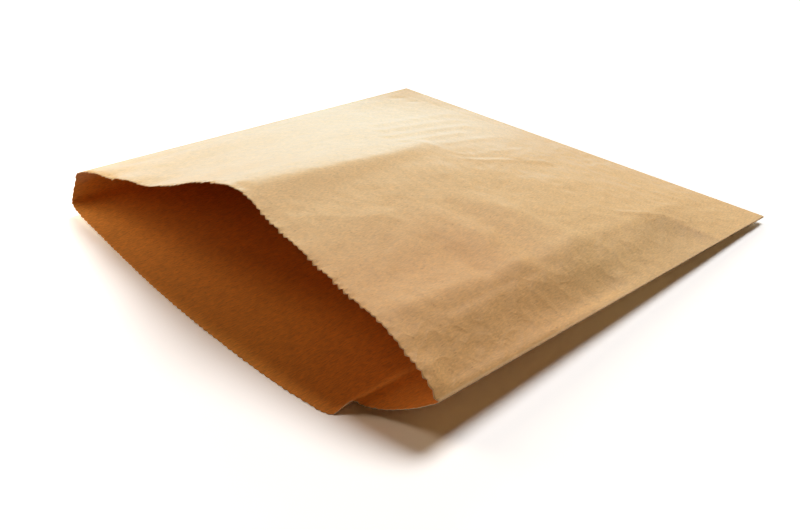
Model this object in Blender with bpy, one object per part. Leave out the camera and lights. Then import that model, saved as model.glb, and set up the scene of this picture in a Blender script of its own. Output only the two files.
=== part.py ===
"""Flat paper bag, lying down with its mouth standing open.

One web of kraft paper is folded into a flat tube, lapped and glued along the middle of its
underside, pinked across the mouth, and turned under and glued at the closed end.
X runs across the bag, +Y from the mouth to the closed end, +Z up. All sizes are in metres.
"""

import math

import bmesh
import bpy
from mathutils import Vector

# The bag pressed flat
BAG_WIDTH = 0.250
BAG_LENGTH = 0.240
SHEET = 0.0002
SHEET_GAP = 0.0001
LAP_WIDTH = 0.015
LAP_EDGE = 0.0004
TURNED_END = 0.013
TURNED_EDGE = 0.0008

# Pinked edge
TOOTH_COUNT = 80
TOOTH_DEPTH = 0.0010

# The bag as it stands open
MOUTH_NARROWING = 0.0052
CROWN_RISE = 0.0347
CROWN_SETBACK = 0.0060
LEFT_FOLD_MOUTH_Z = 0.0202
RIGHT_FOLD_MOUTH_Z = 0.0170
LEFT_FOLD_END_Z = 0.0016
RIGHT_FOLD_END_Z = 0.0033
LIP_REACH = 0.0200
LEFT_WALL_SPREAD = 0.058
RIGHT_WALL_SPREAD = 0.042
WALL_EASE_LENGTH = 0.110
END_LIFT_LENGTH = 0.045
RIDGE_DRIFT = 0.17
RIDGE_KEPT = 0.45

# Mesh of each sheet
COLUMNS = 34
ROWS = 17

# Upper sheet at the mouth above the line between the side folds:
# (share of the width from the left, share of the crown's rise)
MOUTH_ARCH = (
    (0.00, 0.00),
    (0.09, 0.21),
    (0.20, 0.37),
    (0.27, 0.45),
    (0.36, 0.71),
    (0.49, 1.00),
    (0.56, 0.96),
    (0.73, 0.69),
    (0.87, 0.51),
    (0.94, 0.31),
    (1.00, 0.00),
)

# Lower sheet at the mouth, in from the left fold:
# (share of the sheet, share of the wall's spread, share of the fold's height)
LEFT_WALL = (
    (0.000, 0.000, 1.00),
    (0.029, 0.012, 0.68),
    (0.059, 0.014, 0.37),
    (0.088, 0.075, 0.23),
    (0.118, 0.200, 0.16),
    (0.176, 0.480, 0.08),
    (0.235, 0.750, 0.02),
    (0.294, 1.000, 0.00),
)

# Lower sheet at the mouth, in from the right fold, over the crease and down to the floor
RIGHT_WALL = (
    (0.000, 0.000, 1.00),
    (0.029, 0.180, 0.66),
    (0.059, 0.370, 0.37),
    (0.088, 0.530, 0.22),
    (0.118, 0.660, 0.19),
    (0.147, 0.770, 0.27),
    (0.176, 0.860, 0.00),
    (0.206, 1.000, 0.00),
)

# Lower edge of the mouth, forward of the side folds:
# (share of the sheet from the left, share of the lip's reach)
LIP_LINE = (
    (0.000, 0.00),
    (0.059, 0.25),
    (0.118, 0.33),
    (0.235, 0.48),
    (0.430, 0.80),
    (0.600, 0.96),
    (0.700, 1.00),
    (0.794, 0.95),
    (0.824, 0.87),
    (0.853, 0.50),
    (0.882, 0.38),
    (0.941, 0.14),
    (1.000, 0.00),
)


def smooth(value):
    """Ease from 0 to 1 with level ends."""
    value = min(max(value, 0.0), 1.0)
    return value * value * (3.0 - 2.0 * value)


def blend(low, high, share):
    """Straight mix of two values."""
    return low + (high - low) * share


def curve(points, column, place):
    """Height of a smooth curve that passes through the points and never swings past them."""
    slopes = []
    for first, second in zip(points, points[1:]):
        slopes.append((second[column] - first[column]) / (second[0] - first[0]))
    tangents = [slopes[0]]
    for before, after in zip(slopes, slopes[1:]):
        turning = before * after <= 0.0
        tangents.append(0.0 if turning else 2.0 * before * after / (before + after))
    tangents.append(slopes[-1])
    place = min(max(place, points[0][0]), points[-1][0])
    index = 0
    while index < len(points) - 2 and place > points[index + 1][0]:
        index += 1
    run = points[index + 1][0] - points[index][0]
    share = (place - points[index][0]) / run
    squared = share * share
    cubed = squared * share
    value = (2.0 * cubed - 3.0 * squared + 1.0) * points[index][column]
    value += (cubed - 2.0 * squared + share) * run * tangents[index]
    value += (3.0 * squared - 2.0 * cubed) * points[index + 1][column]
    value += (cubed - squared) * run * tangents[index + 1]
    return value


def half_width(depth):
    """Half the distance between the side folds: depth is 0 at the mouth and 1 at the end."""
    return 0.5 * BAG_WIDTH - MOUTH_NARROWING * (1.0 - depth)


def fold_height(across, depth):
    """Height of the straight line from the left side fold to the right one."""
    left = blend(LEFT_FOLD_MOUTH_Z, LEFT_FOLD_END_Z, depth)
    right = blend(RIGHT_FOLD_MOUTH_Z, RIGHT_FOLD_END_Z, depth)
    return blend(left, right, across)


def half_gap():
    """Half the distance between the middles of two sheets that lie together."""
    return 0.5 * (SHEET + SHEET_GAP)


def nose():
    """Share of the width taken by the rounding of a side fold."""
    return 2.0 * half_gap() / BAG_WIDTH


def fold_rounding(across):
    """0 on a side fold and 1 beyond its rounding."""
    return min(min(across, 1.0 - across) / nose(), 1.0)


def lap_cover(across):
    """1 where the glued lap doubles the lower sheet, 0 beside it."""
    from_middle = abs(across - 0.5) * BAG_WIDTH
    return min(max((0.5 * (LAP_WIDTH + LAP_EDGE) - from_middle) / LAP_EDGE, 0.0), 1.0)


def turned_cover(depth):
    """1 where the turned end is glued under the lower sheet, 0 elsewhere."""
    from_end = (1.0 - depth) * BAG_LENGTH
    return min(max((TURNED_END + 0.5 * TURNED_EDGE - from_end) / TURNED_EDGE, 0.0), 1.0)


def pinking(across):
    """Saw-tooth line of the cut edge, half a tooth to each side of its middle."""
    phase = (across * TOOTH_COUNT) % 1.0
    return TOOTH_DEPTH * (0.5 - abs(2.0 * phase - 1.0))


def upper_middle(across, depth):
    """Middle of the upper sheet's thickness, in the bag's cross-section."""
    half = half_width(depth)
    drift = RIDGE_DRIFT * depth * math.sin(math.pi * across)
    arch = curve(MOUTH_ARCH, 1, across + drift)
    dome = math.sin(math.pi * across ** 0.8)
    shape = blend(arch, dome, (1.0 - RIDGE_KEPT) * smooth(1.25 * depth))
    rise = CROWN_RISE * shape * (1.0 - depth) * (1.0 + 0.5 * depth)
    beside_lap = abs(across - 0.5) * BAG_WIDTH / LAP_WIDTH
    rise += SHEET * smooth(2.0 - 2.2 * beside_lap) * smooth(4.0 * depth)
    z = fold_height(across, depth) + half_gap() * fold_rounding(across) + rise
    return blend(-half, half, across), z


def open_wall(points, spread, fold, place):
    """Distance in from a side fold and height, for one side of the lower sheet's mouth."""
    height = blend(0.5 * SHEET, fold, curve(points, 2, place))
    return spread * curve(points, 1, place), height


def easy_wall(points, fold, place):
    """Height of the lower sheet where it eases down to the floor, deeper in the bag."""
    share = 1.0 - min(place / points[-1][0], 1.0)
    return blend(0.5 * SHEET, fold, share * share)


def lower_middle(across, depth):
    """Middle of the lower sheet's thickness, in the bag's cross-section."""
    half = half_width(depth)
    left_fold = fold_height(0.0, depth)
    right_fold = fold_height(1.0, depth)
    left_reach = LEFT_WALL[-1][0]
    right_reach = RIGHT_WALL[-1][0]
    if across < left_reach:
        inward, z = open_wall(LEFT_WALL, LEFT_WALL_SPREAD, left_fold, across)
        x = inward - half
        easy = easy_wall(LEFT_WALL, left_fold, across)
    elif across > 1.0 - right_reach:
        inward, z = open_wall(RIGHT_WALL, RIGHT_WALL_SPREAD, right_fold, 1.0 - across)
        x = half - inward
        easy = easy_wall(RIGHT_WALL, right_fold, 1.0 - across)
    else:
        share = (across - left_reach) / (1.0 - right_reach - left_reach)
        x = blend(LEFT_WALL_SPREAD - half, half - RIGHT_WALL_SPREAD, share)
        z = 0.5 * SHEET
        easy = z
    ease = smooth(depth * BAG_LENGTH / WALL_EASE_LENGTH)
    x = blend(x, blend(-half, half, across), ease)
    z = blend(z, easy, ease)
    from_turned_end = (1.0 - depth) * BAG_LENGTH - TURNED_END
    z = blend(z, fold_height(across, depth), smooth(1.0 - from_turned_end / END_LIFT_LENGTH))
    return x, max(z - half_gap() * fold_rounding(across), 0.5 * SHEET)


def section(turn, depth):
    """Cross-section of the tube: turn 0 to 1 is the upper sheet from the left fold to the
    right one, and 1 to 2 is the lower sheet back again."""
    turn = turn % 2.0
    if turn <= 1.0:
        return upper_middle(turn, depth)
    return lower_middle(2.0 - turn, depth)


def distance_along(turn, depth):
    """Distance from the side folds' mouth ends towards the closed end."""
    turn = turn % 2.0
    if turn <= 1.0:
        arch = curve(MOUTH_ARCH, 1, turn)
        edge = CROWN_SETBACK * arch * arch
        across = turn
    else:
        across = 2.0 - turn
        edge = -LIP_REACH * curve(LIP_LINE, 1, across)
    if depth == 0.0:
        edge -= pinking(across)
    return blend(edge, BAG_LENGTH, depth)


def sheet_point(turn, depth, side):
    """Point on the paper: side 1 is its outer face and side -1 its inner face."""
    x, z = section(turn, depth)
    step = 0.5 * nose()
    before = section(turn - step, depth)
    after = section(turn + step, depth)
    outward = Vector((before[1] - after[1], after[0] - before[0])).normalized()
    offset = 0.5 * SHEET
    across = 2.0 - turn % 2.0
    if across < 1.0 and side < 0:
        offset += SHEET * lap_cover(across)
    if across < 1.0 and side > 0:
        offset += 2.0 * SHEET * turned_cover(depth)
    x += outward.x * side * offset
    z += outward.y * side * offset
    return Vector((x, distance_along(turn, depth), z))


def end_point(turn, depth, side):
    """Point where the upper and lower sheets run together at the closed end."""
    across = turn if turn <= 1.0 else 2.0 - turn
    half = half_width(depth)
    z = fold_height(across, depth)
    if side > 0:
        z -= SHEET
    else:
        half -= SHEET
    return Vector((blend(-half, half, across), depth * BAG_LENGTH, z))


def column_turns():
    """Places around the tube where the mesh has its columns, the same on both sheets."""
    lap_half = 0.5 * LAP_WIDTH / BAG_WIDTH
    edge_half = 0.5 * LAP_EDGE / BAG_WIDTH
    places = [nose(), 1.0 - nose()]
    for index in range(1, COLUMNS):
        across = index / COLUMNS
        if abs(abs(across - 0.5) - lap_half) > 0.3 / COLUMNS:
            places.append(across)
    for side in (-1.0, 1.0):
        places.append(0.5 + side * (lap_half - edge_half))
        places.append(0.5 + side * (lap_half + edge_half))
    places.sort()
    turns = [0.0] + places + [1.0]
    turns.extend(2.0 - across for across in reversed(places))
    turns.append(2.0)
    return turns


def row_depths():
    """Depths of the rows, closer together at the mouth and at the turned end."""
    turned = TURNED_END / BAG_LENGTH
    edge = 0.5 * TURNED_EDGE / BAG_LENGTH
    depths = [(1.0 - turned - edge) * (index / ROWS) ** 1.15 for index in range(ROWS + 1)]
    depths.append(1.0 - turned + edge)
    depths.append(1.0 - 0.5 * turned)
    return depths


def path_rows():
    """Rows along the paper, from the closed end out to the mouth and back down the inside:
    each is (depth, side, whether the two sheets run together there)."""
    depths = row_depths()
    rounding = 2.0 * half_gap() / BAG_LENGTH
    rows = [(1.0, 1, True), (1.0 - rounding, 1, False)]
    rows.extend((depth, 1, False) for depth in reversed(depths))
    rows.extend((depth, -1, False) for depth in depths)
    rows.append((1.0 - 3.0 * rounding, -1, False))
    rows.append((1.0 - 2.0 * rounding, -1, True))
    return rows


def flat_web(bm, turns, rows):
    """Flat grid with one column for each turn and one row for each step of the path."""
    across = len(turns) - 1
    along = len(rows) - 1
    bmesh.ops.create_grid(bm, x_segments=across, y_segments=along, size=0.5)
    for vert in bm.verts:
        column = round((vert.co.x + 0.5) * across)
        row = round((vert.co.y + 0.5) * along)
        vert.co = Vector((turns[column], row, 0.0))


def pink_mouth(bm, turns, rows):
    """Split the mouth's edges at each tip and root of the pinking."""
    mouth = [index for index, row in enumerate(rows) if row[0] == 0.0]
    columns = {round(turn, 5) for turn in turns}
    half_tooth = 0.5 / TOOTH_COUNT
    groups = {}
    marks = {row: [] for row in mouth}
    for edge in bm.edges:
        row = round(edge.verts[0].co.y)
        if row not in mouth or row != round(edge.verts[1].co.y):
            continue
        low, high = sorted(vert.co.x for vert in edge.verts)
        first = math.floor(low / half_tooth + 1.05)
        last = math.ceil(high / half_tooth - 1.05)
        if last < first:
            continue
        groups.setdefault(last - first + 1, []).append(edge)
        marks[row].extend(half_tooth * mark for mark in range(first, last + 1))
    for count in sorted(groups):
        bmesh.ops.subdivide_edges(bm, edges=groups[count], cuts=count, use_grid_fill=True)
    for row in mouth:
        edge_verts = [vert for vert in bm.verts if round(vert.co.y) == row]
        cut = [vert for vert in edge_verts if round(vert.co.x, 5) not in columns]
        cut.sort(key=lambda vert: vert.co.x)
        for vert, mark in zip(cut, sorted(marks[row])):
            vert.co.x = mark


def fold_web(bm, rows):
    """Carry the flat web to its place on the open bag."""
    for vert in bm.verts:
        depth, side, together = rows[round(vert.co.y)]
        if together:
            vert.co = end_point(vert.co.x, depth, side)
        else:
            vert.co = sheet_point(vert.co.x, depth, side)


def centre_bag(bm):
    """Move the bag so that the middle of its footprint is over the origin."""
    low_x = min(vert.co.x for vert in bm.verts)
    high_x = max(vert.co.x for vert in bm.verts)
    low_y = min(vert.co.y for vert in bm.verts)
    high_y = max(vert.co.y for vert in bm.verts)
    low_z = min(vert.co.z for vert in bm.verts)
    shift = Vector((-0.5 * (low_x + high_x), -0.5 * (low_y + high_y), -low_z))
    bmesh.ops.translate(bm, verts=bm.verts, vec=shift)


def paper_material():
    """Brown kraft paper."""
    material = bpy.data.materials.new("kraft_paper")
    material.use_nodes = True
    shader = material.node_tree.nodes["Principled BSDF"]
    shader.inputs["Base Color"].default_value = (0.62, 0.41, 0.22, 1.0)
    shader.inputs["Roughness"].default_value = 0.75
    shader.inputs["Metallic"].default_value = 0.0
    return material


def build_bag(collection):
    """Make the bag's one solid."""
    turns = column_turns()
    rows = path_rows()
    bm = bmesh.new()
    flat_web(bm, turns, rows)
    pink_mouth(bm, turns, rows)
    fold_web(bm, rows)
    bmesh.ops.remove_doubles(bm, verts=bm.verts, dist=0.00001)
    bmesh.ops.recalc_face_normals(bm, faces=bm.faces)
    centre_bag(bm)
    mesh = bpy.data.meshes.new("paper_bag")
    bm.to_mesh(mesh)
    bm.free()
    mesh.materials.append(paper_material())
    bag = bpy.data.objects.new("paper_bag", mesh)
    collection.objects.link(bag)


def clear_scene():
    """Take out everything that the scene starts with."""
    for thing in list(bpy.data.objects):
        bpy.data.objects.remove(thing, do_unlink=True)


def main():
    clear_scene()
    collection = bpy.data.collections.new("flat_paper_bag")
    bpy.context.scene.collection.children.link(collection)
    build_bag(collection)


main()
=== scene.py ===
"""Looks of the flat paper bag: brown machine-glazed kraft, lying with its mouth standing open.

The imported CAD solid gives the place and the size. The visible bag is one thin closed shell with
the rounded pinking, the crest, the soft folds and the dents of the handled paper.
"""

import math

import bmesh
import bpy
import numpy as np
from bpy.props import FloatProperty, FloatVectorProperty, IntProperty, PointerProperty
from mathutils import Matrix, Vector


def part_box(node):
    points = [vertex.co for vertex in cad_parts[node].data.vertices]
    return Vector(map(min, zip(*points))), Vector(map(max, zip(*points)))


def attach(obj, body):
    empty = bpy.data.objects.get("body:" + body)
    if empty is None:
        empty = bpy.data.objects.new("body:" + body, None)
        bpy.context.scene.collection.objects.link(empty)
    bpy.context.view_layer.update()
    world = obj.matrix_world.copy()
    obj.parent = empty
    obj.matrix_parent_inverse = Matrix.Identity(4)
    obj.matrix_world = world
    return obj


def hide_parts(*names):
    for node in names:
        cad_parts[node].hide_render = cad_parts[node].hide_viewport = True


bl_info = {
    "name": "Flat Paper Bag",
    "version": (1, 0, 0),
    "blender": (4, 5, 0),
    "location": "View3D > Sidebar > Paper Bag",
    "description": "Builds an open flat kraft paper bag around its CAD solid, and a plain stage",
    "category": "Object",
}

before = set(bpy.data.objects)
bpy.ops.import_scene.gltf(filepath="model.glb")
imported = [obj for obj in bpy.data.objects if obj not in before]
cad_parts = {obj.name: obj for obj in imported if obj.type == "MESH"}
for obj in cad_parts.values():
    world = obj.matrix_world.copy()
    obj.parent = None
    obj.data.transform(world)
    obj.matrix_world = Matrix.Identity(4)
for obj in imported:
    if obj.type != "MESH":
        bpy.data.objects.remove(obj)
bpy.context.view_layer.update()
BAG_LOW, BAG_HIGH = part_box("paper_bag")
MM = 0.001

# The bag pressed flat, as in the CAD source
BAG_WIDTH = round(BAG_HIGH.x - BAG_LOW.x, 3)
BAG_LENGTH = 0.240
SHEET_GAP = 0.0001
LAP_EDGE = 0.0004
LAP_STEP = 0.00004
TURNED_EDGE = 0.0008

# The bag as it stands open, as in the CAD source
MOUTH_NARROWING = 0.0052
LEFT_FOLD_MOUTH_Z = 0.0202
RIGHT_FOLD_MOUTH_Z = 0.0170
LEFT_FOLD_END_Z = 0.0016
RIGHT_FOLD_END_Z = 0.0033
LEFT_WALL_SPREAD = 0.058
RIGHT_WALL_SPREAD = 0.042
WALL_EASE_LENGTH = 0.110
END_LIFT_LENGTH = 0.045
CREASE_LENGTH = 0.050

# Upper sheet at the mouth above the line between the side folds:
# (share of the width from the left, share of the crown's rise)
MOUTH_ARCH = (
    (0.000, 0.000), (0.048, 0.144), (0.086, 0.208), (0.123, 0.245), (0.159, 0.311),
    (0.194, 0.373), (0.228, 0.410), (0.261, 0.450), (0.293, 0.533), (0.323, 0.610),
    (0.353, 0.695), (0.382, 0.783), (0.409, 0.852), (0.437, 0.915), (0.464, 0.960),
    (0.490, 0.988), (0.518, 0.994), (0.546, 0.966), (0.574, 0.917), (0.601, 0.866),
    (0.628, 0.826), (0.654, 0.783), (0.679, 0.758), (0.729, 0.684), (0.777, 0.618),
    (0.823, 0.553), (0.867, 0.504), (0.912, 0.399), (0.935, 0.316), (0.956, 0.262),
    (0.978, 0.160), (1.000, 0.000),
)

# Left of the crown the arch is evened out behind the rim: how far to each side, where that
# ends and fades in shares of the width, and how far in it sets in
CALM_REACH = 0.075
CALM_END = 0.46
CALM_FADE = 0.12
CALM_LENGTH = 28 * MM

# The arch halfway in, where the crest has softened and the right shoulder is still marked,
# and the depths over which it takes the place of the arch of the mouth
DEEP_ARCH = (
    (0.00, 0.00), (0.06, 0.21), (0.15, 0.45), (0.28, 0.76), (0.36, 0.87), (0.44, 0.94),
    (0.52, 0.95), (0.63, 0.89), (0.76, 0.77), (0.86, 0.62), (0.89, 0.53), (0.92, 0.39),
    (0.95, 0.20), (0.975, 0.08), (1.00, 0.00),
)
DEEP_START = 0.08
DEEP_RUN = 0.62

# How much later than a straight line the crown falls towards the closed end
CROWN_HOLD = 0.5

# Lower sheet at the mouth, in from the left fold:
# (share of the sheet, share of the wall's spread, share of the fold's height)
LEFT_WALL = (
    (0.000, 0.000, 1.00), (0.029, 0.012, 0.68), (0.059, 0.014, 0.37), (0.088, 0.075, 0.23),
    (0.118, 0.200, 0.16), (0.176, 0.480, 0.08), (0.235, 0.750, 0.02), (0.294, 1.000, 0.00),
)

# Lower sheet at the mouth, in from the right fold, over the crease and down to the floor
RIGHT_WALL = (
    (0.000, 0.000, 1.00), (0.029, 0.180, 0.66), (0.059, 0.370, 0.37), (0.088, 0.530, 0.22),
    (0.118, 0.660, 0.19), (0.147, 0.770, 0.27), (0.176, 0.860, 0.00), (0.206, 1.000, 0.00),
)

# Lower edge of the mouth, forward of the side folds:
# (share of the sheet from the left, share of the lip's reach)
LIP_LINE = (
    (0.000, 0.00), (0.059, 0.25), (0.118, 0.33), (0.235, 0.48), (0.430, 0.80), (0.600, 0.96),
    (0.700, 1.00), (0.794, 0.95), (0.824, 0.87), (0.853, 0.50), (0.882, 0.38), (0.941, 0.14),
    (1.000, 0.00),
)

# Soft ridges (height above 0) and grooves (below 0) of the upper sheet, in millimetres from
# the left fold and from the mouth: (height, half width, line)
RELIEF = (
    # crest that runs in from the crown of the mouth and dies out past the middle
    (0.80, 7.0, ((127, 14), (124, 65), (117, 112), (110, 134))),
    (-0.22, 5.0, ((139, 20), (134, 75), (128, 110))),
    # ripples where the crest breaks up
    (0.22, 4.0, ((62, 150), (58, 215))),
    (0.26, 3.6, ((76, 140), (71, 205))),
    (0.28, 3.4, ((89, 130), (84, 200))),
    (0.30, 3.2, ((101, 128), (97, 180))),
    (0.20, 3.0, ((112, 150), (108, 195))),
    # right shoulder, its crinkled line and the hollows of the band outside it
    (0.80, 5.0, ((217, 14), (219, 70), (220, 118))),
    (-2.80, 8.0, ((242, 14), (240, 60), (241, 112))),
    (0.35, 3.0, ((219, 130), (220, 165), (218, 205))),
    (-0.32, 1.0, ((225, 28), (224, 60), (226, 95), (225, 128))),
    (-0.35, 3.0, ((222, 119), (236, 125), (248, 133))),
    (0.35, 6.0, ((233, 146), (242, 148))),
    (-1.10, 9.0, ((229, 172), (239, 184))),
    (0.60, 1.5, ((212, 166), (224, 190), (249, 197))),
    # swells that cross the right half
    (0.65, 6.0, ((217, 121), (196, 113), (175, 104))),
    (-0.70, 6.0, ((219, 92), (196, 93), (172, 89))),
    (0.60, 5.5, ((218, 79), (196, 80), (174, 76))),
    (-0.90, 7.0, ((214, 62), (190, 60))),
    (-0.28, 1.5, ((195, 148), (197, 143), (203, 140), (213, 141))),
    (0.28, 2.0, ((151, 187), (143, 160), (137, 139))),
    (0.14, 2.4, ((130, 155), (130, 195))),
    (-0.12, 3.0, ((158, 130), (163, 170))),
    (0.26, 1.7, ((151, 9), (160, 32), (166, 50))),
    (0.80, 8.0, ((158, 12), (164, 50))),
    (-0.90, 9.0, ((201, 16), (199, 56))),
    # marks near the closed end
    (0.26, 1.6, ((184, 207), (201, 211), (217, 217))),
    (-0.20, 2.0, ((196, 229), (199, 234))),
    (-0.20, 2.0, ((207, 228), (209, 233))),
    (-0.32, 3.6, ((12, 217), (13, 220))),
    (-0.26, 3.4, ((24, 219), (25, 222))),
    (-0.12, 1.2, ((0, 227), (125, 227.5), (250, 227))),
)

# Least and most that the worn blade cut and bent the teeth of the upper sheet, in shares of
# their depth: bent down above 0 and up below it
TOOTH_CUTS = (0.50, 1.10)
TOOTH_BENDS = (-0.42, 0.98)
TOOTH_SEED = 5

# Depth of the lower sheet's teeth, worn flat against the table, in shares of the others
LOWER_TOOTH_SHARE = 0.55

# How far behind the cut edge a tooth's shape fades out
TOOTH_FADE = 3.2 * MM

# Waves of the whole sheet: longest and shortest wave, height and seed
SLOW_WAVES = (46 * MM, 22 * MM, 0.17 * MM, 11)
SHORT_WAVES = (16 * MM, 7 * MM, 0.035 * MM, 23)
WAVE_COUNT = 26

# Waves beside the cut edge, where the blade has pulled the paper, and how far in they reach
RIM_WAVES = (15 * MM, 6 * MM, 0.08 * MM, 3)
RIM_REACH = 12 * MM

# Sharp little creases, and the band by the right fold that has most of them: where it begins,
# ends and fades, in shares of the width and of the length
CREASES = (22 * MM, 9 * MM, 0.13 * MM, 41)
BAND_CREASES = (11 * MM, 5 * MM, 0.14 * MM, 7)
BAND_PLACE = ((0.86, 0.99), (0.05, 0.62))
BAND_FADE = 0.03

# Where the handled right half begins, how wide its edge is, and the left half's share of waves
HANDLED_START = 0.40
HANDLED_RUN = 0.20
LEFT_WAVES = 0.40

# Distances over which slow waves die out by a fold, and all relief by a fold and by the end
WAVE_EASE = 14 * MM
FOLD_EASE = 5 * MM
END_EASE = 6 * MM

# Columns of the mesh behind the teeth, every so many quarter teeth, and those of a side fold
# in shares of its rounding
UPPER_STEP = 2
LOWER_STEP = 4
NOSE_COLUMNS = (0.15, 0.5, 1.0)

# Rows of the mesh: those of the teeth, the first plain one and the step between plain ones,
# and those of the turned end in shares of its length
TOOTH_ROWS = (0.0, 0.7 * MM, 1.5 * MM, 2.5 * MM)
FIRST_PLAIN_ROW = 4.0 * MM
ROW_STEP = 1.7 * MM
TURNED_ROWS = (0.8, 0.62, 0.45, 0.3, 0.17, 0.08)

# Numbers of the materials on the shell
OUTER_FACE = 0
INNER_FACE = 1
CUT_EDGE = 2

# Patterns of the paper, in millimetres across, along and through the bag, or all round
STRAND_SIZE = (0.5, 2.6, 0.5)
FLECK_SIZE = (0.9, 2.4, 0.9)
CLOUD_SIZE = 5.0
CRUMPLE_SIZE = 9.0
CRINKLE_SIZE = 11.0
CUT_FIBRE_SIZE = 0.8

# Depth of the felt of the fibres, and depths of the crinkles and of the inner face's crumple
# in shares of the outer face's crumple
FELT_DEPTH = 0.075 * MM
CRINKLE_SHARE = 0.7
INNER_CRUMPLE = 0.7

# Where the crumples and the band's crinkles start to gain strength and have all of it, from
# the bag's middle, and their strength left of there
CRUMPLED = (-20 * MM, 25 * MM, 0.2)
CRINKLED = (88 * MM, 97 * MM, 0.35)

# Painted shade towards the right corner of the mouth, and a darker patch by the right fold: colour,
# strength, and where each soft edge starts and ends, measured from the bag's middle. One edge of
# the patch is slanted.
# Painted shade: the colour is darkened and warmed towards the right front of the upper sheet, where
# its slopes face away from the lamps.
RIGHT_SHADE_COLOUR = "F5E7DA"
RIGHT_SHADE_ACROSS = (22 * MM, 76 * MM)
RIGHT_SHADE_ALONG = (24 * MM, -52 * MM)
PATCH_COLOUR = "6E5740"
PATCH_STRENGTH = 0.13
PATCH_ACROSS = (96.2 * MM, 98.0 * MM)
PATCH_SLANT = -0.32
PATCH_SLANTED = (47.6 * MM, 45.8 * MM)
PATCH_ALONG = (40 * MM, 58 * MM)

# Painted highlight along the side folds, where they catch the light: colour, strength, and where
# it starts and ends, measured in from the fold
FOLD_HIGHLIGHT_COLOUR = "F0D2A4"
FOLD_HIGHLIGHT_STRENGTH = 0.40
FOLD_HIGHLIGHT_INSIDE = (0.9 * MM, 0.2 * MM)

# Where the lamps' light comes from, as azimuth and elevation in degrees, and what it is like
KEY_COLOUR = (1.0, 1.0, 1.0)
KEY_FROM = (20.0, 55.0)
LOW_COLOUR = (0.50, 0.88, 1.0)
LOW_ANGLE = math.radians(36)
LOW_FROM = (50.0, 8.0)
LEFT_COLOUR = "FFE0BC"
LEFT_ANGLE = math.radians(24)
LEFT_FROM = (110.0, 34.0)
SIDE_COLOUR = "FFF2E4"
SIDE_SIZE = 0.12
SIDE_FROM = (120.0, 76.0)
SIDE_PLACE = (-0.190, -0.168, 0.050)
LAMP_DISTANCE = 2.0

# Floor, which lies just under the bag so that their faces don't touch
FLOOR_RADIUS = 6.0
FLOOR_DROP = 0.05 * MM

# Camera that took the photograph, fitted to the bag's corners and mouth. It is turned by its
# azimuth, pitch and roll in degrees.
CAMERA_PLACE = (0.2863, -0.30775, 0.2274)
CAMERA_TURN = (43.31, 31.07, 1.56)
CAMERA_LENS = 43.04
CAMERA_SENSOR = 36.0


def linear(hex_colour):
    """Linear red, green and blue of an sRGB hex colour."""
    shares = [int(hex_colour[i : i + 2], 16) / 255.0 for i in (0, 2, 4)]
    return tuple(c / 12.92 if c <= 0.04045 else ((c + 0.055) / 1.055) ** 2.4 for c in shares)


def colour_setting(name, description, hex_colour):
    """A colour that a user may change."""
    return FloatVectorProperty(
        name=name, description=description, subtype="COLOR", size=3,
        default=linear(hex_colour), min=0.0, max=1.0,
    )


class PaperBagSizes(bpy.types.PropertyGroup):
    """Sizes of the bag that a user may change."""

    sheet: FloatProperty(
        name="Paper thickness", description="Thickness of the paper", default=0.0002,
        unit="LENGTH", precision=5,
    )
    tooth_count: IntProperty(
        name="Teeth", description="Teeth of the pinking across one sheet", default=80,
    )
    tooth_depth: FloatProperty(
        name="Tooth depth", description="Depth of the pinking", default=0.0010,
        unit="LENGTH", precision=5,
    )
    crown_rise: FloatProperty(
        name="Crown rise", description="Height of the upper sheet at the mouth over its folds",
        default=0.0351, unit="LENGTH", precision=4,
    )
    crown_setback: FloatProperty(
        name="Crown setback", description="How far the raised edge of the mouth lies back",
        default=0.0069, unit="LENGTH", precision=4,
    )
    ridge_drift: FloatProperty(
        name="Crest drift", description="How far the crest runs to the left, in widths",
        default=0.10,
    )
    lip_reach: FloatProperty(
        name="Lip reach", description="How far the lower sheet reaches out of the mouth",
        default=0.0200, unit="LENGTH", precision=4,
    )
    lap_width: FloatProperty(
        name="Lap width", description="Width of the glued lap of the underside", default=0.015,
        unit="LENGTH", precision=4,
    )
    turned_end: FloatProperty(
        name="Turned end", description="Length of the end turned under and glued",
        default=0.013, unit="LENGTH", precision=4,
    )
    relief: FloatProperty(
        name="Relief", description="Strength of the soft folds and dents", default=1.0,
        subtype="FACTOR",
    )


class PaperBagFinish(bpy.types.PropertyGroup):
    """Colours and finish of the paper."""

    outside: colour_setting("Outside", "Colour of the glazed outer face", "E1B87A")
    # The inner face's deeper orange is painted shade for the dim, reddened light inside the bag
    inside: colour_setting("Inside", "Colour of the rough inner face", "E3963A")
    flecks: colour_setting("Flecks", "Colour of the dark fibre bundles", "8A5A2C")
    cut_edge: colour_setting("Cut edge", "Colour of the freshly cut fibres", "EBCDA5")
    glow: colour_setting(
        "Light through", "Colour of the light that comes through the paper", "FFB450",
    )
    see_through: FloatProperty(
        name="See-through", description="Share of the light that one face lets in",
        default=0.07, subtype="FACTOR",
    )
    crumple: FloatProperty(
        name="Crumple", description="Depth of the fine crumple", default=0.00028,
        unit="LENGTH", precision=6,
    )


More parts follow.
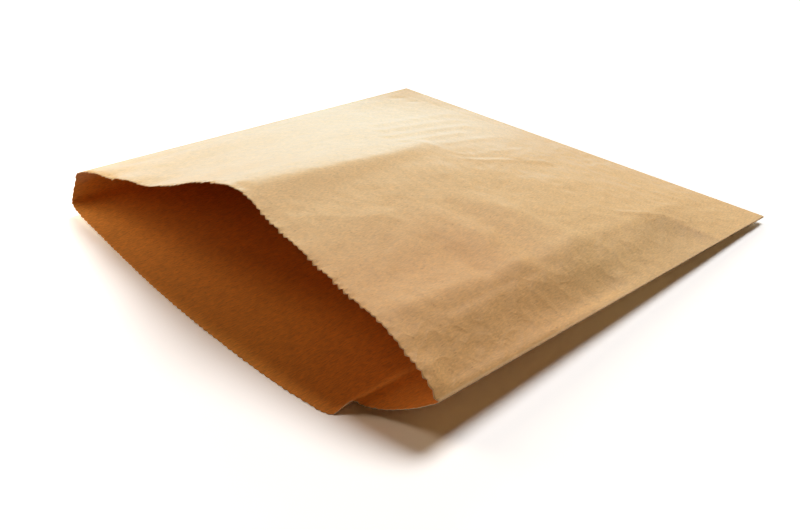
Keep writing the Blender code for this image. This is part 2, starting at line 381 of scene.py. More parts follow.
class PaperBagStage(bpy.types.PropertyGroup):
    """Floor and light."""

    floor: colour_setting("Floor", "Colour of the floor", "F6F6F6")
    floor_exposure: FloatProperty(
        name="Floor exposure", description="How much brighter the camera sees the floor",
        default=1.42,
    )
    key_light: FloatProperty(
        name="Key light", description="Strength of the softbox behind to the left",
        default=2.58,
    )
    key_size: FloatProperty(
        name="Key size", description="Angle that the softbox takes up",
        default=math.radians(28), unit="ROTATION",
    )
    low_light: FloatProperty(
        name="Low light", description="Strength of the wide low light behind to the left",
        default=1.20,
    )
    side_light: FloatProperty(
        name="Side light", description="Power of the small light beside the mouth",
        default=0.13,
    )
    left_light: FloatProperty(
        name="Left light", description="Strength of the weak warm light from the left",
        default=0.72,
    )
    fill_colour: colour_setting("Fill colour", "Colour of the light from all round", "FFBA74")
    fill: FloatProperty(
        name="Fill", description="Strength of the light from all round", default=0.05,
    )


def smooth(value):
    """Ease from 0 to 1 with level ends."""
    value = np.clip(value, 0.0, 1.0)
    return value * value * (3.0 - 2.0 * value)


def blend(low, high, share):
    """Straight mix of two values."""
    return low + (high - low) * share


def curve(points, column, place):
    """Height of a smooth curve that passes through the points and never swings past them."""
    table = np.array(points, float)
    knots, values = table[:, 0], table[:, column]
    runs = np.diff(knots)
    slopes = np.diff(values) / runs
    before, after = slopes[:-1], slopes[1:]
    total = np.where(np.abs(before + after) < 1e-12, 1.0, before + after)
    inner = np.where(before * after > 0.0, 2.0 * before * after / total, 0.0)
    tangents = np.concatenate(([slopes[0]], inner, [slopes[-1]]))
    place = np.clip(place, knots[0], knots[-1])
    index = np.clip(np.searchsorted(knots, place, side="right") - 1, 0, len(runs) - 1)
    run = runs[index]
    share = (place - knots[index]) / run
    squared = share * share
    cubed = squared * share
    value = (2.0 * cubed - 3.0 * squared + 1.0) * values[index]
    value += (cubed - 2.0 * squared + share) * run * tangents[index]
    value += (3.0 * squared - 2.0 * cubed) * values[index + 1]
    value += (cubed - squared) * run * tangents[index + 1]
    return value


def waves(x, y, longest, shortest, height, seed):
    """Even sum of waves that run in all directions, like the cockle of handled paper."""
    chance = np.random.RandomState(seed)
    total = np.zeros(np.shape(x))
    for _ in range(WAVE_COUNT):
        length = blend(shortest, longest, chance.rand())
        heading = chance.rand() * math.pi
        phase = chance.rand() * 2.0 * math.pi
        along = (x * math.cos(heading) + y * math.sin(heading)) / length
        total += np.sin(2.0 * math.pi * along + phase)
    return height * total / math.sqrt(0.5 * WAVE_COUNT)


def distance_to_line(x, y, line):
    """Distance from each place to a line of straight pieces."""
    nearest = np.full(np.shape(x), 1e9)
    for (ax, ay), (bx, by) in zip(line, line[1:]):
        run_x, run_y = bx - ax, by - ay
        share = ((x - ax) * run_x + (y - ay) * run_y) / (run_x * run_x + run_y * run_y)
        share = np.clip(share, 0.0, 1.0)
        gap = np.hypot(x - ax - share * run_x, y - ay - share * run_y)
        nearest = np.minimum(nearest, gap)
    return nearest


class BagShape:
    """Where each point of the paper lies in the open bag."""

    def __init__(self, sizes):
        self.sizes = sizes
        self.sheet = sizes.sheet
        self.tooth_count = sizes.tooth_count
        self.half_gap = 0.5 * (sizes.sheet + SHEET_GAP)
        self.nose = 2.0 * self.half_gap / BAG_WIDTH
        chance = np.random.RandomState(TOOTH_SEED)
        self.tooth_cut = blend(*TOOTH_CUTS, chance.rand(2 * sizes.tooth_count))
        self.tooth_bend = blend(*TOOTH_BENDS, chance.rand(2 * sizes.tooth_count))

    def half_width(self, depth):
        """Half the distance between the side folds: depth is 0 at the mouth, 1 at the end."""
        return 0.5 * BAG_WIDTH - MOUTH_NARROWING * (1.0 - depth)

    def fold_height(self, across, depth):
        """Height of the straight line from the left side fold to the right one."""
        left = blend(LEFT_FOLD_MOUTH_Z, LEFT_FOLD_END_Z, depth)
        right = blend(RIGHT_FOLD_MOUTH_Z, RIGHT_FOLD_END_Z, depth)
        return blend(left, right, across)

    def fold_rounding(self, across):
        """0 on a side fold, rising in a quarter circle to 1 beyond its rounding."""
        share = np.clip(np.minimum(across, 1.0 - across) / self.nose, 0.0, 1.0)
        return np.sqrt(1.0 - (1.0 - share) ** 2)

    def lap_cover(self, across):
        """1 where the glued lap doubles the lower sheet, 0 beside it."""
        from_middle = np.abs(across - 0.5) * BAG_WIDTH
        return np.clip((0.5 * (self.sizes.lap_width + LAP_EDGE) - from_middle) / LAP_EDGE, 0.0, 1.0)

    def turned_cover(self, depth):
        """1 where the turned end is glued under the lower sheet, 0 elsewhere."""
        from_end = (1.0 - depth) * BAG_LENGTH
        edge = self.sizes.turned_end + 0.5 * TURNED_EDGE
        return np.clip((edge - from_end) / TURNED_EDGE, 0.0, 1.0)

    def tooth(self, turn, depth):
        """Number of the tooth of the cut edge that a place lies on, and the tooth's reach
        beyond the notches there: rounded, uneven, and fading out behind the edge."""
        turn = turn % 2.0
        number = np.floor(turn * self.tooth_count).astype(int) % len(self.tooth_cut)
        tip = np.sin(math.pi * turn * self.tooth_count) ** 2
        reach = self.sizes.tooth_depth * self.tooth_cut[number] * tip**0.75
        reach = np.where(turn > 1.0, LOWER_TOOTH_SHARE * reach, reach)
        return number, reach * np.clip(1.0 - depth * BAG_LENGTH / TOOTH_FADE, 0.0, 1.0)

    def relief(self, across, depth):
        """Soft folds, dents and cockle of the upper sheet."""
        x = across * BAG_WIDTH
        y = depth * BAG_LENGTH
        height = np.zeros(np.shape(x))
        for rise, width, line in RELIEF:
            gap = distance_to_line(x / MM, y / MM, line)
            height += rise * MM * np.exp(-((gap / width) ** 2))
        from_fold = np.minimum(x, BAG_WIDTH - x)
        handled = smooth((across - HANDLED_START) / HANDLED_RUN)
        cockle = waves(x, y, *SLOW_WAVES) * smooth(from_fold / WAVE_EASE)
        cockle += waves(x, y, *SHORT_WAVES)
        height += cockle * blend(LEFT_WAVES, 1.0, handled)
        height += waves(x, y, *RIM_WAVES) * smooth(1.0 - y / RIM_REACH)
        height -= np.abs(waves(x, y, *CREASES)) * handled
        inside_band = 1.0
        for place, (start, end) in zip((across, depth), BAND_PLACE):
            inside_band = inside_band * smooth((place - start) / BAND_FADE)
            inside_band = inside_band * smooth((end - place) / BAND_FADE)
        height -= np.abs(waves(x, y, *BAND_CREASES)) * inside_band
        height *= smooth(from_fold / FOLD_EASE) * smooth((BAG_LENGTH - y) / END_EASE)
        return self.sizes.relief * height

    def calm_arch(self, place):
        """The arch of the mouth, with its small wobbles evened out as behind the rim."""
        reach = np.clip(place, 0.0, CALM_REACH)
        steps = (-1.0, -0.6, -0.2, 0.2, 0.6, 1.0)
        return sum(curve(MOUTH_ARCH, 1, place + step * reach) for step in steps) / len(steps)

    def upper_middle(self, across, depth):
        """Middle of the upper sheet's thickness, in the bag's cross-section."""
        half = self.half_width(depth)
        drift = self.sizes.ridge_drift * depth * np.sin(math.pi * np.clip(across, 0.0, 1.0))
        place = across + drift
        arch = curve(MOUTH_ARCH, 1, place)
        behind_rim = smooth(depth * BAG_LENGTH / CALM_LENGTH)
        calm = behind_rim * smooth((CALM_END - place) / CALM_FADE)
        arch = blend(arch, self.calm_arch(place), calm)
        deep = curve(DEEP_ARCH, 1, across)
        shape = blend(arch, deep, smooth((depth - DEEP_START) / DEEP_RUN))
        rise = self.sizes.crown_rise * shape * (1.0 - depth) * (1.0 + CROWN_HOLD * depth)
        rise = rise + self.relief(across, depth)
        z = self.fold_height(across, depth) + self.half_gap * self.fold_rounding(across) + rise
        return blend(-half, half, across), z

    def wall(self, points, spread, fold, place):
        """One side of the lower sheet's mouth: distance in from the fold, height, and the
        height of the same place where the sheet eases down deeper in the bag."""
        bottom = 0.5 * self.sheet
        height = blend(bottom, fold, curve(points, 2, place))
        share = 1.0 - np.clip(place / points[-1][0], 0.0, 1.0)
        return spread * curve(points, 1, place), height, blend(bottom, fold, share**3)

    def lower_middle(self, across, depth):
        """Middle of the lower sheet's thickness, in the bag's cross-section."""
        half = self.half_width(depth)
        left_reach = LEFT_WALL[-1][0]
        right_reach = RIGHT_WALL[-1][0]
        left_fold = self.fold_height(0.0, depth)
        right_fold = self.fold_height(1.0, depth)
        left = self.wall(LEFT_WALL, LEFT_WALL_SPREAD, left_fold, across)
        right = self.wall(RIGHT_WALL, RIGHT_WALL_SPREAD, right_fold, 1.0 - across)
        share = (across - left_reach) / (1.0 - right_reach - left_reach)
        flat_x = blend(LEFT_WALL_SPREAD - half, half - RIGHT_WALL_SPREAD, share)
        on_left = across < left_reach
        on_right = across > 1.0 - right_reach
        x = np.where(on_left, left[0] - half, np.where(on_right, half - right[0], flat_x))
        bottom = 0.5 * self.sheet
        z = np.where(on_left, left[1], np.where(on_right, right[1], bottom))
        easy = np.where(on_left, left[2], np.where(on_right, right[2], bottom))
        x = blend(x, blend(-half, half, across), smooth(depth * BAG_LENGTH / WALL_EASE_LENGTH))
        z = blend(z, easy, smooth(depth * BAG_LENGTH / CREASE_LENGTH))
        from_turned_end = (1.0 - depth) * BAG_LENGTH - self.sizes.turned_end
        lift = smooth(1.0 - from_turned_end / END_LIFT_LENGTH)
        z = blend(z, self.fold_height(across, depth), lift)
        return x, np.maximum(z - self.half_gap * self.fold_rounding(across), bottom)

    def section(self, turn, depth):
        """Cross-section of the tube: turn 0 to 1 is the upper sheet from the left fold to the
        right one, and 1 to 2 is the lower sheet back again."""
        turn = np.mod(turn, 2.0)
        on_top = turn <= 1.0
        upper_across = np.where(on_top, turn, 2.0 - turn)
        upper_x, upper_z = self.upper_middle(upper_across, depth)
        lower_x, lower_z = self.lower_middle(upper_across, depth)
        apart = 2.0 * self.half_gap * self.fold_rounding(upper_across)
        clear = np.where(depth > 0.5, lower_z + apart, -1.0)
        upper_z = np.maximum(upper_z, clear)
        return np.where(on_top, upper_x, lower_x), np.where(on_top, upper_z, lower_z)

    def distance_along(self, turn, depth):
        """Distance from the side folds' mouth ends towards the closed end."""
        turn = np.mod(turn, 2.0)
        on_top = turn <= 1.0
        across = np.where(on_top, turn, 2.0 - turn)
        arch = curve(MOUTH_ARCH, 1, across)
        upper_edge = self.sizes.crown_setback * arch * arch
        lower_edge = -self.sizes.lip_reach * curve(LIP_LINE, 1, across)
        edge = np.where(on_top, upper_edge, lower_edge)
        return blend(edge, BAG_LENGTH, depth) - self.tooth(turn, depth)[1]

    def sheet_points(self, turn, depth, side):
        """Points on the paper: side 1 is its outer face and side -1 its inner face."""
        turn, depth = np.broadcast_arrays(turn, depth)
        x, z = self.section(turn, depth)
        step = 0.25 * self.nose
        before = self.section(turn - step, depth)
        after = self.section(turn + step, depth)
        out_x = before[1] - after[1]
        out_z = after[0] - before[0]
        length = np.hypot(out_x, out_z)
        across = 2.0 - np.mod(turn, 2.0)
        offset = np.full(np.shape(x), 0.5 * self.sheet)
        below = across < 1.0
        if side < 0:
            offset = offset + np.where(below, LAP_STEP * self.lap_cover(across), 0.0)
        else:
            offset = offset + np.where(below, 2.0 * self.sheet * self.turned_cover(depth), 0.0)
        x = x + out_x / length * side * offset
        z = z + out_z / length * side * offset
        number, reach = self.tooth(turn, depth)
        z = z - np.where(below, 0.0, self.tooth_bend[number] * reach)
        return np.stack([x, self.distance_along(turn, depth), z], axis=-1)

    def end_points(self, across, depth, side):
        """Points where the upper and lower sheets run together at the closed end."""
        half = self.half_width(depth)
        z = self.fold_height(across, depth)
        if side > 0:
            z = z - self.sheet
        else:
            half = half - self.sheet
        return np.stack([blend(-half, half, across), np.full_like(z, depth * BAG_LENGTH), z], -1)

    def columns(self, upper_step, lower_step):
        """Places around the tube where a row has its points, with every so many quarter
        teeth, and always at the side folds and at the edges of the glued lap."""
        quarters = 4 * self.tooth_count
        upper = [i / quarters for i in range(0, quarters + 1, upper_step)]
        lower = [i / quarters for i in range(0, quarters + 1, lower_step)]
        nose = [self.nose * share for share in NOSE_COLUMNS]
        for places in (upper, lower):
            places.extend(nose + [1.0 - place for place in nose])
        lap_half = 0.5 * self.sizes.lap_width / BAG_WIDTH
        edge_half = 0.5 * LAP_EDGE / BAG_WIDTH
        for side in (-1.0, 1.0):
            marks = [0.5 + side * (lap_half - edge_half), 0.5 + side * (lap_half + edge_half)]
            upper.extend(marks)
            lower.extend(marks)
        lower_turns = [2.0 - place for place in lower if 0.0 < place < 1.0]
        return sorted({round(turn, 7) for turn in upper + lower_turns})


class BagMesh:
    """Grows the bag's shell row by row, from the closed end out to the mouth and back in."""

    def __init__(self, shape):
        self.shape = shape
        self.points = []
        self.faces = []
        self.slots = []
        self.count = 0

    def add_points(self, points):
        """Numbers of new points."""
        first = self.count
        self.points.append(points)
        self.count += len(points)
        return range(first, self.count)

    def row(self, turns, depth, side):
        """One row all round the tube, as {turn: number of the point}."""
        numbers = self.add_points(self.shape.sheet_points(np.array(turns), depth, side))
        return dict(zip(turns, numbers))

    def end_row(self, turns, depth, side):
        """One row where the upper and lower sheets share their points."""
        upper = [turn for turn in turns if turn <= 1.0]
        numbers = self.add_points(self.shape.end_points(np.array(upper), depth, side))
        row = dict(zip(upper, numbers))
        for turn in upper:
            if 0.0 < turn < 1.0:
                row[round(2.0 - turn, 7)] = row[turn]
        return row

    def bridge(self, first, second, slot):
        """Faces between two rows, where one of them may have more points."""
        shared = sorted(set(first) & set(second))
        more_first = self.between(first, shared)
        more_second = self.between(second, shared)
        for index, turn in enumerate(shared):
            following = shared[(index + 1) % len(shared)]
            face = [first[turn]] + more_first[turn] + [first[following]]
            face += [second[following]] + more_second[turn][::-1] + [second[turn]]
            self.faces.append(face)
            self.slots.append(slot)

    def between(self, row, shared):
        """For each shared turn, the row's own points before the next shared one."""
        own = {turn: [] for turn in shared}
        shared_set = set(shared)
        current = shared[-1]
        for turn in sorted(row):
            if turn in shared_set:
                current = turn
            else:
                own[current].append(row[turn])
        return own


def row_depths(turned_end):
    """Depths of the plain rows behind the teeth, with rows at the turned end's edge."""
    turned = turned_end / BAG_LENGTH
    edge = 0.5 * TURNED_EDGE / BAG_LENGTH
    first = FIRST_PLAIN_ROW / BAG_LENGTH
    last = 1.0 - turned - edge
    count = round((last - first) * BAG_LENGTH / ROW_STEP)
    depths = list(np.linspace(first, last, count + 1))
    depths.append(1.0 - turned + edge)
    depths.extend(1.0 - turned * share for share in TURNED_ROWS)
    return depths


def grow_shell(shape):
    """The whole shell: outer face, cut edge and inner face."""
    growing = BagMesh(shape)
    fine = shape.columns(1, 1)
    plain = shape.columns(UPPER_STEP, LOWER_STEP)
    depths = row_depths(shape.sizes.turned_end)
    teeth = [row / BAG_LENGTH for row in TOOTH_ROWS]
    rounding = 2.0 * shape.half_gap / BAG_LENGTH
    outer = [growing.end_row(plain, 1.0, 1)]
    outer.append(growing.row(plain, 1.0 - rounding, 1))
    outer.extend(growing.row(plain, depth, 1) for depth in reversed(depths))
    outer.extend(growing.row(fine, depth, 1) for depth in reversed(teeth))
    # The inner face stays one rounding inside the outer one at the closed end
    inner = [growing.row(fine, depth, -1) for depth in teeth]
    inner.extend(growing.row(plain, depth, -1) for depth in depths)
    inner.append(growing.row(plain, 1.0 - 3.0 * rounding, -1))
    inner.append(growing.end_row(plain, 1.0 - 2.0 * rounding, -1))
    for first, second in zip(outer, outer[1:]):
        growing.bridge(first, second, OUTER_FACE)
    growing.bridge(outer[-1], inner[0], CUT_EDGE)
    for first, second in zip(inner, inner[1:]):
        growing.bridge(first, second, INNER_FACE)
    return growing


def add_node(tree, kind, settings=None, inputs=None):
    """A node with its settings, and inputs that are values or the sockets that feed them."""
    node = tree.nodes.new(kind)
    for name, value in (settings or {}).items():
        setattr(node, name, value)
    for name, value in (inputs or {}).items():
        if isinstance(value, bpy.types.NodeSocket):
            tree.links.new(value, node.inputs[name])
        else:
            node.inputs[name].default_value = value
    return node


def new_tree(name):
    """A new material with only its output."""
    material = bpy.data.materials.new(name)
    material.use_nodes = True
    tree = material.node_tree
    tree.nodes.clear()
    return material, tree, add_node(tree, "ShaderNodeOutputMaterial")


def per_mm(size):
    """Scale of a pattern whose features are this many millimetres long."""
    return 1.0 / (size * MM)


def soft_edged_tint(tree, colour, tint, strength, edges, way="MIX"):
    """The colour with a soft-edged tint on it: painted shade, painted highlights and a darker
    patch.
    An edge is a value, and where the tint starts and where it has its strength."""
    share = strength
    for value, start, end in edges:
        inside = add_node(
            tree, "ShaderNodeMapRange", {"interpolation_type": "SMOOTHSTEP"},
            {"Value": value, "From Min": start, "From Max": end},
        ).outputs["Result"]
        share = add_node(
            tree, "ShaderNodeMath", {"operation": "MULTIPLY"}, {0: inside, 1: share},
        ).outputs["Value"]
    return add_node(
        tree, "ShaderNodeMix", {"data_type": "RGBA", "blend_type": way},
        {"Factor": share, 6: colour, 7: (*linear(tint), 1.0)},
    ).outputs[2]


def painted_right_shade(tree, colour, across, along):
    """Painted shade: the colour darkened and warmed towards the right corner of the mouth, where
    the paper's slopes face away from the lamps.
    """
    edges = ((across, *RIGHT_SHADE_ACROSS), (along, *RIGHT_SHADE_ALONG))
    return soft_edged_tint(tree, colour, RIGHT_SHADE_COLOUR, 1.0, edges, "MULTIPLY")


def darker_patch(tree, colour, across, along):
    """A slightly darker and duller patch by the right fold, with one slanted edge."""
    slanted = add_node(
        tree, "ShaderNodeMath", {"operation": "MULTIPLY_ADD"},
        {0: across, 1: PATCH_SLANT, 2: along},
    ).outputs["Value"]
    edges = ((across, *PATCH_ACROSS), (slanted, *PATCH_SLANTED), (along, *PATCH_ALONG))
    return soft_edged_tint(tree, colour, PATCH_COLOUR, PATCH_STRENGTH, edges)


def painted_fold_highlight(tree, colour, across, along):
    """Painted highlight: a paler colour along the two side folds, where the sharp folds catch the
    light.
    """
    out = add_node(
        tree, "ShaderNodeMath", {"operation": "ABSOLUTE"}, {0: across},
    ).outputs["Value"]
    slope = MOUTH_NARROWING / BAG_LENGTH
    from_middle = add_node(
        tree, "ShaderNodeMath", {"operation": "MULTIPLY_ADD"}, {0: along, 1: -slope, 2: out},
    ).outputs["Value"]
    fold = 0.5 * BAG_WIDTH - slope * BAG_HIGH.y
    start, end = (fold - inside for inside in FOLD_HIGHLIGHT_INSIDE)
    return soft_edged_tint(tree, colour, FOLD_HIGHLIGHT_COLOUR, FOLD_HIGHLIGHT_STRENGTH, ((from_middle, start, end),))


def fibre_strands(tree, place):
    """Pattern of the long softwood fibres, which lie mostly along the bag. They are 0.03 mm
    wide, so bundles of them are drawn, coarse enough to show."""
    lengthwise = add_node(
        tree, "ShaderNodeMapping", {},
        {"Vector": place, "Scale": tuple(map(per_mm, STRAND_SIZE))},
    ).outputs["Vector"]
    return add_node(
        tree, "ShaderNodeTexNoise", {},
        {"Vector": lengthwise, "Scale": 1.0, "Detail": 3.0, "Roughness": 0.6},
    ).outputs["Fac"]


def pulp_tone(tree, colour, place, strands, contrast):
    """The colour, made lighter and darker by clouds in the pulp and by the fibres."""
    clouds = add_node(
        tree, "ShaderNodeTexNoise", {},
        {"Vector": place, "Scale": per_mm(CLOUD_SIZE), "Detail": 4.0, "Roughness": 0.6},
    ).outputs["Fac"]
    shares = []
    for pattern, low, high in (
        (clouds, 0.94, 1.05), (strands, 0.975 - contrast, 0.975 + contrast),
    ):
        shares.append(add_node(
            tree, "ShaderNodeMapRange", {},
            {"Value": pattern, "From Min": 0.25, "From Max": 0.75, "To Min": low, "To Max": high},
        ).outputs["Result"])
    share = add_node(
        tree, "ShaderNodeMath", {"operation": "MULTIPLY"}, {0: shares[0], 1: shares[1]},
    ).outputs["Value"]
    return add_node(
        tree, "ShaderNodeVectorMath", {"operation": "SCALE"},
        {0: tuple(colour), "Scale": share},
    ).outputs["Vector"]


def flecked(tree, colour, place, flecks):
    """The colour with dark fibre bundles scattered over it as short flecks."""
    lengthwise = add_node(
        tree, "ShaderNodeMapping", {},
        {"Vector": place, "Scale": tuple(map(per_mm, FLECK_SIZE))},
    ).outputs["Vector"]
    specks = add_node(
        tree, "ShaderNodeTexNoise", {},
        {"Vector": lengthwise, "Scale": 1.0, "Detail": 1.0, "Roughness": 0.4},
    ).outputs["Fac"]
    share = add_node(
        tree, "ShaderNodeMapRange", {"interpolation_type": "SMOOTHSTEP"},
        {"Value": specks, "From Min": 0.64, "From Max": 0.85, "To Max": 0.40},
    ).outputs["Result"]
    return add_node(
        tree, "ShaderNodeMix", {"data_type": "RGBA"},
        {"Factor": share, 6: colour, 7: (*flecks, 1.0)},
    ).outputs[2]


def handled_relief(tree, place, across, strands, crumple):
    """Bumps of handled paper, stronger on the right and crisp in the band beside the right
    fold. Gives the normal with the crumples alone, and with crinkles and felt on them."""
    strengths = []
    for start, end, least in (CRUMPLED, CRINKLED):
        strengths.append(add_node(
            tree, "ShaderNodeMapRange", {"interpolation_type": "SMOOTHSTEP"},
            {"Value": across, "From Min": start, "From Max": end, "To Min": least},
        ).outputs["Result"])
    creases = add_node(
        tree, "ShaderNodeTexNoise", {},
        {"Vector": place, "Scale": per_mm(CRUMPLE_SIZE), "Detail": 5.0, "Roughness": 0.62,
         "Distortion": 0.4},
    ).outputs["Fac"]
    crumpled = add_node(
        tree, "ShaderNodeBump", {},
        {"Height": creases, "Distance": crumple, "Strength": strengths[0]},
    ).outputs["Normal"]
    crinkles = add_node(
        tree, "ShaderNodeTexNoise", {"noise_type": "RIDGED_MULTIFRACTAL"},
        {"Vector": place, "Scale": per_mm(CRINKLE_SIZE), "Detail": 2.0, "Roughness": 0.5,
         "Lacunarity": 2.3, "Offset": 0.9, "Gain": 1.4, "Distortion": 0.6},
    ).outputs["Fac"]
    crinkled = add_node(
        tree, "ShaderNodeBump", {},
        {"Height": crinkles, "Distance": CRINKLE_SHARE * crumple, "Strength": strengths[1],
         "Normal": crumpled},
    ).outputs["Normal"]
    felted = add_node(
        tree, "ShaderNodeBump", {},
        {"Height": strands, "Distance": FELT_DEPTH, "Strength": strengths[0],
         "Normal": crinkled},
    ).outputs["Normal"]
    return crumpled, felted


def face_roughness(tree, strands, roughness, sheen):
    """Roughness that varies with the fibres, and is less at low angles by the sheen: rolled
    paper looks glossier the lower one looks across it."""
    matt = add_node(
        tree, "ShaderNodeMapRange", {},
        {"Value": strands, "From Min": 0.2, "From Max": 0.8, "To Min": roughness - 0.05,
         "To Max": roughness + 0.07},
    ).outputs["Result"]
    facing = add_node(tree, "ShaderNodeLayerWeight", {}, {"Blend": 0.5}).outputs["Facing"]
    glaze = add_node(
        tree, "ShaderNodeMapRange", {"interpolation_type": "SMOOTHSTEP"},
        {"Value": facing, "From Min": 0.64, "From Max": 0.88, "To Max": sheen},
    ).outputs["Result"]
    return add_node(
        tree, "ShaderNodeMath", {"operation": "SUBTRACT"}, {0: matt, 1: glaze},
    ).outputs["Value"]


def kraft_paper(name, finish, colour, contrast, roughness, shine, sheen, crumple):
    """Brown kraft paper, from long softwood fibres pressed and dried on a roller: cloudy when
    looked at closely, with short dark flecks. Light glows through it."""
    material, tree, output = new_tree(name)
    place = add_node(tree, "ShaderNodeTexCoord").outputs["Object"]
    across, along, _ = add_node(tree, "ShaderNodeSeparateXYZ", {}, {"Vector": place}).outputs
    strands = fibre_strands(tree, place)
    tone = pulp_tone(tree, colour, place, strands, contrast)
    tone = flecked(tree, tone, place, finish.flecks)
    # Painted shade at the right front, a darker patch by the right fold, and painted highlights on
    # the side folds
    for mark in (painted_right_shade, darker_patch, painted_fold_highlight):
        tone = mark(tree, tone, across, along)
    crumpled, felted = handled_relief(tree, place, across, strands, crumple)
    paper = add_node(
        tree, "ShaderNodeBsdfPrincipled", {},
        {"Base Color": tone, "Roughness": face_roughness(tree, strands, roughness, sheen),
         "IOR": 1.5, "Specular IOR Level": shine, "Normal": felted},
    ).outputs["BSDF"]
    through = add_node(
        tree, "ShaderNodeBsdfTranslucent", {},
        {"Color": (*finish.glow, 1.0), "Normal": crumpled},
    ).outputs["BSDF"]
    both = add_node(
        tree, "ShaderNodeMixShader", {},
        {"Fac": finish.see_through, 1: paper, 2: through},
    ).outputs["Shader"]
    tree.links.new(both, output.inputs["Surface"])
    return material


def glazed_paper(finish):
    """Machine-glazed kraft paper, dried against a polished roller: a warm matt brown with a
    faint sheen at low angles."""
    return kraft_paper(
        "machine_glazed_kraft_paper", finish, finish.outside, contrast=0.20, roughness=0.60,
        shine=0.36, sheen=0.22, crumple=finish.crumple,
    )


def rough_paper(finish):
    """The side of the paper that the roller didn't polish, with no sheen; its deeper colour is
    painted shade.
    """
    return kraft_paper(
        "kraft_paper_rough_side", finish, finish.inside, contrast=0.30, roughness=0.80,
        shine=0.30, sheen=0.0, crumple=INNER_CRUMPLE * finish.crumple,
    )


def cut_edge_paper(finish):
    """Kraft paper cut by the pinking blade: paler broken fibres, quite matt."""
    material, tree, output = new_tree("kraft_paper_cut_edge")
    place = add_node(tree, "ShaderNodeTexCoord").outputs["Object"]
    ends = add_node(
        tree, "ShaderNodeTexNoise", {},
        {"Vector": place, "Scale": per_mm(CUT_FIBRE_SIZE), "Detail": 2.0},
    ).outputs["Fac"]
    tone = add_node(
        tree, "ShaderNodeMapRange", {},
        {"Value": ends, "From Min": 0.3, "From Max": 0.7, "To Min": 0.85, "To Max": 1.05},
    ).outputs["Result"]
    colour = add_node(
        tree, "ShaderNodeVectorMath", {"operation": "SCALE"},
        {0: tuple(finish.cut_edge), "Scale": tone},
    ).outputs["Vector"]
    paper = add_node(
        tree, "ShaderNodeBsdfPrincipled", {}, {"Base Color": colour, "Roughness": 0.85},
    ).outputs["BSDF"]
    tree.links.new(paper, output.inputs["Surface"])
    return material


def floor_paint():
    """Matt white studio floor: even, with nothing on it but the bag's own shadow."""
    material, tree, output = new_tree("matt_white_studio_floor")
    stage = bpy.context.scene.paper_bag_stage
    path = add_node(tree, "ShaderNodeLightPath").outputs
    exposure = add_node(
        tree, "ShaderNodeMapRange", {},
        {"Value": path["Is Camera Ray"], "To Min": 1.0, "To Max": stage.floor_exposure},
    ).outputs["Result"]
    colour = add_node(
        tree, "ShaderNodeVectorMath", {"operation": "SCALE"},
        {0: tuple(stage.floor), "Scale": exposure},
    ).outputs["Vector"]
    surface = add_node(tree, "ShaderNodeBsdfDiffuse", {}, {"Color": colour}).outputs["BSDF"]
    tree.links.new(surface, output.inputs["Surface"])
    return material


class PAPERBAG_OT_bag(bpy.types.Operator):
    """Build the paper bag with its mouth standing open"""

    bl_idname = "paper_bag.build_bag"
    bl_label = "Build bag"

    def execute(self, context):
        shape = BagShape(context.scene.paper_bag_sizes)
        growing = grow_shell(shape)
        points = np.concatenate(growing.points)
        points[:, 1] += BAG_HIGH.y - BAG_LENGTH
        mesh = bpy.data.meshes.new("open_paper_bag")
        mesh.from_pydata(points.tolist(), [], growing.faces)
        mesh.polygons.foreach_set("material_index", growing.slots)
        mesh.polygons.foreach_set("use_smooth", [True] * len(growing.faces))
        bm = bmesh.new()
        bm.from_mesh(mesh)
        bmesh.ops.recalc_face_normals(bm, faces=bm.faces)
        open_edges = [edge for edge in bm.edges if not edge.is_manifold]
        bm.to_mesh(mesh)
        bm.free()
        if open_edges:
            raise RuntimeError(f"the bag's shell has {len(open_edges)} open edges")
        finish = context.scene.paper_bag_finish
        for paper in (glazed_paper, rough_paper, cut_edge_paper):
            mesh.materials.append(paper(finish))
        bag = add_object("open_paper_bag", mesh)
        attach(bag, "root")
        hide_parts("paper_bag")
        return {"FINISHED"}


def add_object(name, data):
    """A new object of the scene."""
    new = bpy.data.objects.new(name, data)
    bpy.context.scene.collection.objects.link(new)
    return new


def aim(lamp, direction):
    """Turn a lamp so that its light comes from this azimuth and elevation: azimuth 0 is +Y,
    90 is -X."""
    turn, rise = map(math.radians, direction)
    level = math.cos(rise)
    z_axis = np.array((-math.sin(turn) * level, math.cos(turn) * level, math.sin(rise)))
    x_axis = np.array((-math.cos(turn), -math.sin(turn), 0.0))
    y_axis = np.cross(z_axis, x_axis)
    rows = [[x_axis[i], y_axis[i], z_axis[i], LAMP_DISTANCE * z_axis[i]] for i in range(3)]
    lamp.matrix_world = Matrix(rows + [[0, 0, 0, 1]])


def softbox(name, kind, strength, colour, direction):
    """A lamp of this kind that shines from this direction."""
    light = bpy.data.lights.new(name, kind)
    light.energy = strength
    light.color = colour
    lamp = add_object(name, light)
    aim(lamp, direction)
    return lamp


def far_softbox(name, strength, colour, angle, direction):
    """A large soft light so far off that it lights the whole floor evenly."""
    softbox(name, "SUN", strength, colour, direction).data.angle = angle


def side_softbox(strength):
    """A small soft light that opens up the shadow in front of the left of the mouth."""
    lamp = softbox("side_softbox", "AREA", strength, linear(SIDE_COLOUR), SIDE_FROM)
    lamp.data.shape = "DISK"
    lamp.data.size = SIDE_SIZE
    lamp.location = SIDE_PLACE
    lamp.visible_camera = False


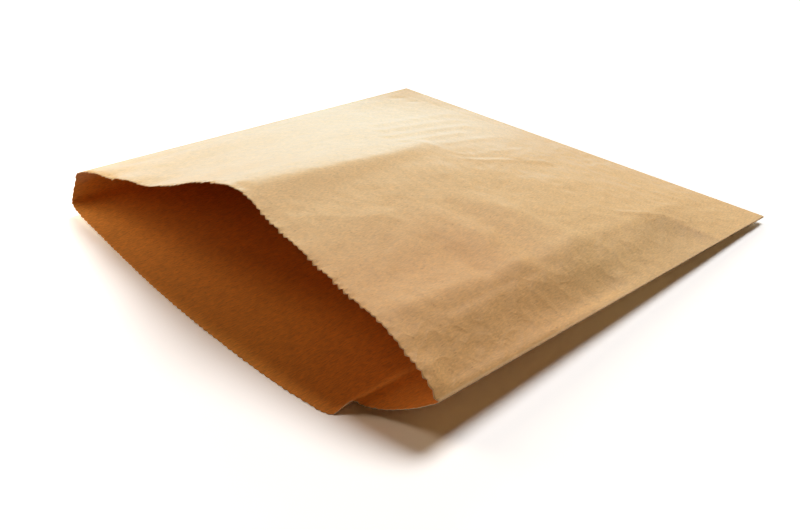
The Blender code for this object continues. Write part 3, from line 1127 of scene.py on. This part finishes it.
def white_surround(fill, fill_colour):
    """White all round for the camera and for reflections, and a low even fill light."""
    world = bpy.data.worlds.new("white_surround")
    bpy.context.scene.world = world
    world.use_nodes = True
    tree = world.node_tree
    tree.nodes.clear()
    path = add_node(tree, "ShaderNodeLightPath").outputs
    seen = path["Is Camera Ray"]
    for ray in ("Is Glossy Ray", "Is Transmission Ray"):
        seen = add_node(
            tree, "ShaderNodeMath", {"operation": "MAXIMUM"}, {0: seen, 1: path[ray]},
        ).outputs["Value"]
    low = tuple(part * fill for part in fill_colour)
    colour = add_node(
        tree, "ShaderNodeMix", {"data_type": "RGBA"},
        {"Factor": seen, 6: (*low, 1.0), 7: (1.0, 1.0, 1.0, 1.0)},
    ).outputs[2]
    light = add_node(tree, "ShaderNodeBackground", {}, {"Color": colour}).outputs["Background"]
    add_node(tree, "ShaderNodeOutputWorld", {}, {"Surface": light})


def photo_camera():
    """The photograph's camera."""
    camera = bpy.data.cameras.new("photo_camera")
    camera.lens = CAMERA_LENS
    camera.sensor_width = CAMERA_SENSOR
    camera.clip_start = 0.01
    camera.clip_end = 100.0
    azimuth, pitch, roll = map(math.radians, CAMERA_TURN)
    forward = np.array([
        -math.sin(azimuth) * math.cos(pitch), math.cos(azimuth) * math.cos(pitch),
        -math.sin(pitch),
    ])
    level = np.array([math.cos(azimuth), math.sin(azimuth), 0.0])
    upright = np.cross(level, forward)
    right = level * math.cos(roll) + upright * math.sin(roll)
    up = -level * math.sin(roll) + upright * math.cos(roll)
    holder = add_object("photo_camera", camera)
    holder.matrix_world = Matrix(
        [[right[i], up[i], -forward[i], CAMERA_PLACE[i]] for i in range(3)] + [[0, 0, 0, 1]]
    )
    bpy.context.scene.camera = holder


class PAPERBAG_OT_stage(bpy.types.Operator):
    """Build the white floor, the soft lights and the camera"""

    bl_idname = "paper_bag.build_stage"
    bl_label = "Build stage"

    def execute(self, context):
        stage = context.scene.paper_bag_stage
        bm = bmesh.new()
        bmesh.ops.create_circle(bm, cap_ends=True, segments=96, radius=FLOOR_RADIUS)
        mesh = bpy.data.meshes.new("studio_floor")
        bm.to_mesh(mesh)
        bm.free()
        mesh.materials.append(floor_paint())
        floor = add_object("studio_floor", mesh)
        floor.location.z = -FLOOR_DROP
        far_softbox("key_softbox", stage.key_light, KEY_COLOUR, stage.key_size, KEY_FROM)
        far_softbox("low_softbox", stage.low_light, LOW_COLOUR, LOW_ANGLE, LOW_FROM)
        side_softbox(stage.side_light)
        far_softbox("left_softbox", stage.left_light, linear(LEFT_COLOUR), LEFT_ANGLE, LEFT_FROM)
        white_surround(stage.fill, stage.fill_colour)
        photo_camera()
        context.scene.view_settings.view_transform = "Standard"
        return {"FINISHED"}


class PAPERBAG_PT_panel(bpy.types.Panel):
    """Lists the bag's operators and settings"""

    bl_idname = "PAPERBAG_PT_panel"
    bl_label = "Paper bag"
    bl_space_type = "VIEW_3D"
    bl_region_type = "UI"
    bl_category = "Paper Bag"

    def draw(self, context):
        layout = self.layout
        for operator in OPERATORS:
            layout.operator(operator.bl_idname)
        for name in SETTINGS:
            group = getattr(context.scene, name)
            column = layout.column()
            for field in group.__annotations__:
                column.prop(group, field)


OPERATORS = (PAPERBAG_OT_bag, PAPERBAG_OT_stage)
SETTINGS = {
    "paper_bag_sizes": PaperBagSizes,
    "paper_bag_finish": PaperBagFinish,
    "paper_bag_stage": PaperBagStage,
}


def register():
    for kind in (*SETTINGS.values(), *OPERATORS, PAPERBAG_PT_panel):
        bpy.utils.register_class(kind)
    for name, kind in SETTINGS.items():
        setattr(bpy.types.Scene, name, PointerProperty(type=kind))


def unregister():
    for name in SETTINGS:
        delattr(bpy.types.Scene, name)
    for kind in (PAPERBAG_PT_panel, *reversed(OPERATORS), *reversed(SETTINGS.values())):
        bpy.utils.unregister_class(kind)


def main():
    register()
    bpy.ops.paper_bag.build_stage()
    bpy.ops.paper_bag.build_bag()


if __name__ == "__main__":
    main()
